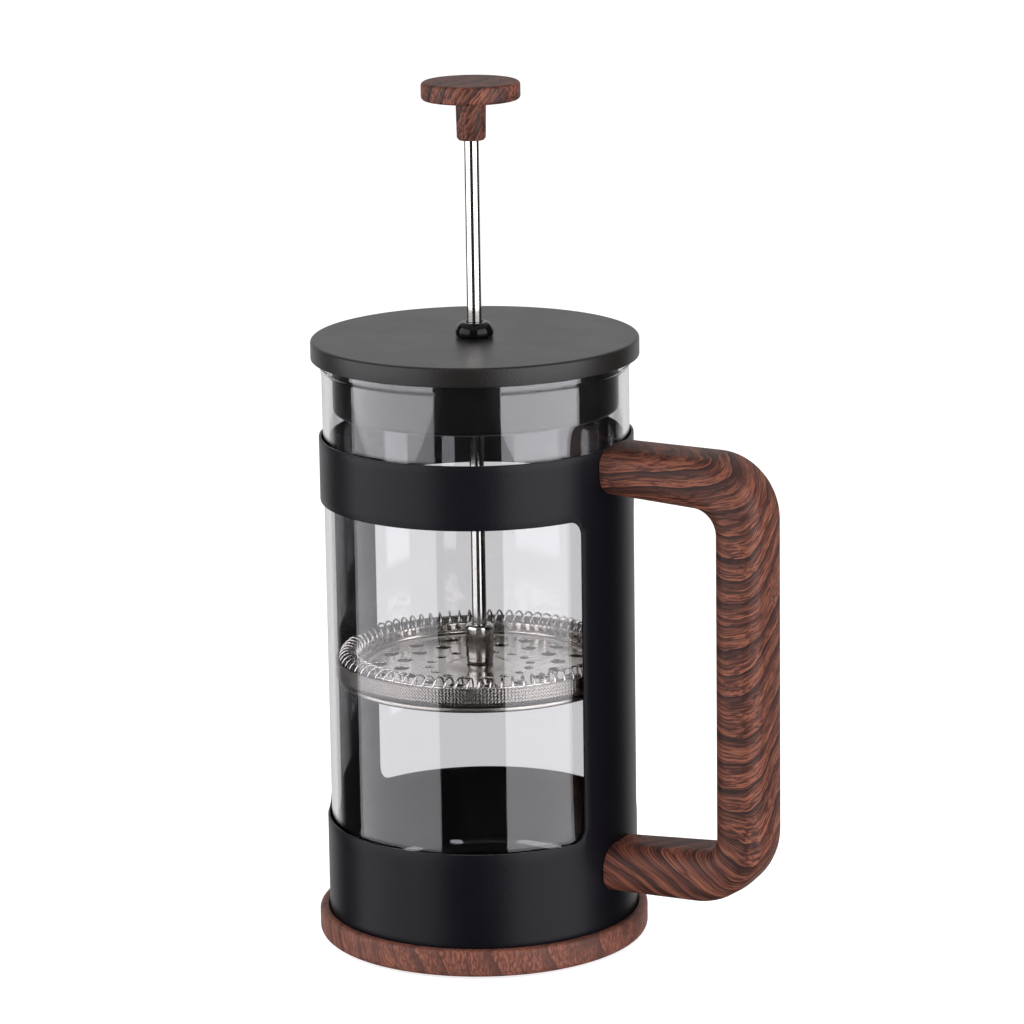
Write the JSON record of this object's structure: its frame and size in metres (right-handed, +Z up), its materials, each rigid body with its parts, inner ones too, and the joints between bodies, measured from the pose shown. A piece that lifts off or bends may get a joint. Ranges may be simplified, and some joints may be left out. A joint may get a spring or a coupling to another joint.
{
  "type": "french press",
  "caption": "Cylindrical press coffee maker: glass beaker in a windowed steel sleeve with a side handle, a plug lid and a sliding plunger with a spring-edged mesh filter.",
  "frame": {"origin": "centre of the pad's underside, on the beaker's axis, on the surface the press stands on", "axes": "+Z up along the plunger rod, +X towards the handle, -X towards the pouring spout"},
  "size_m": [0.1619, 0.1092, 0.2845],
  "materials": {
    "wood_effect": "satin wood-grain transfer print, dark wavy figure on red-brown",
    "black_coat": "matt black powder coat with a fine orange-peel texture",
    "black_plastic": "smooth satin black moulding",
    "gloss_black": "gloss black moulding",
    "steel": "polished stainless steel",
    "fastener_steel": "plain stainless steel",
    "brass": "turned brass",
    "rubber": "matt black foam rubber",
    "glass": "clear borosilicate glass"
  },
  "bodies": {
    "stand": {"base_plate": "wood_effect", "non_slip_pad": "rubber", "base_screw_1": "fastener_steel", "base_screw_2": "fastener_steel", "base_screw_3": "fastener_steel", "frame_sleeve": "black_coat", "handle": "wood_effect", "handle_insert_upper": "brass", "handle_insert_lower": "brass", "handle_screw_upper": "fastener_steel", "handle_screw_lower": "fastener_steel"},
    "glass": {"beaker": "glass"},
    "lid": {"lid_cap": "black_coat", "lid_collar": "black_plastic", "rod_bushing": "gloss_black", "bushing_washer": "fastener_steel", "bushing_nut": "fastener_steel"},
    "plunger": {"knob": "wood_effect", "knob_insert": "brass", "plunger_rod": "steel", "rod_hub": "steel", "spring_plate": "steel", "filter_spring": "steel", "mesh_screen": "steel", "cross_plate": "steel", "clamp_nut": "fastener_steel"}
  },
  "joints": [
    {"name": "beaker_lift", "type": "slide", "parent": "stand", "child": "glass", "axis": [0, 0, 1], "range_m": [0, 0.2]},
    {"name": "lid_lift", "type": "slide", "parent": "glass", "child": "lid", "axis": [0, 0, 1], "range_m": [0, 0.2]},
    {"name": "plunger_slide", "type": "slide", "parent": "lid", "child": "plunger", "axis": [0, 0, 1], "range_m": [-0.059, 0.078]}
  ]
}
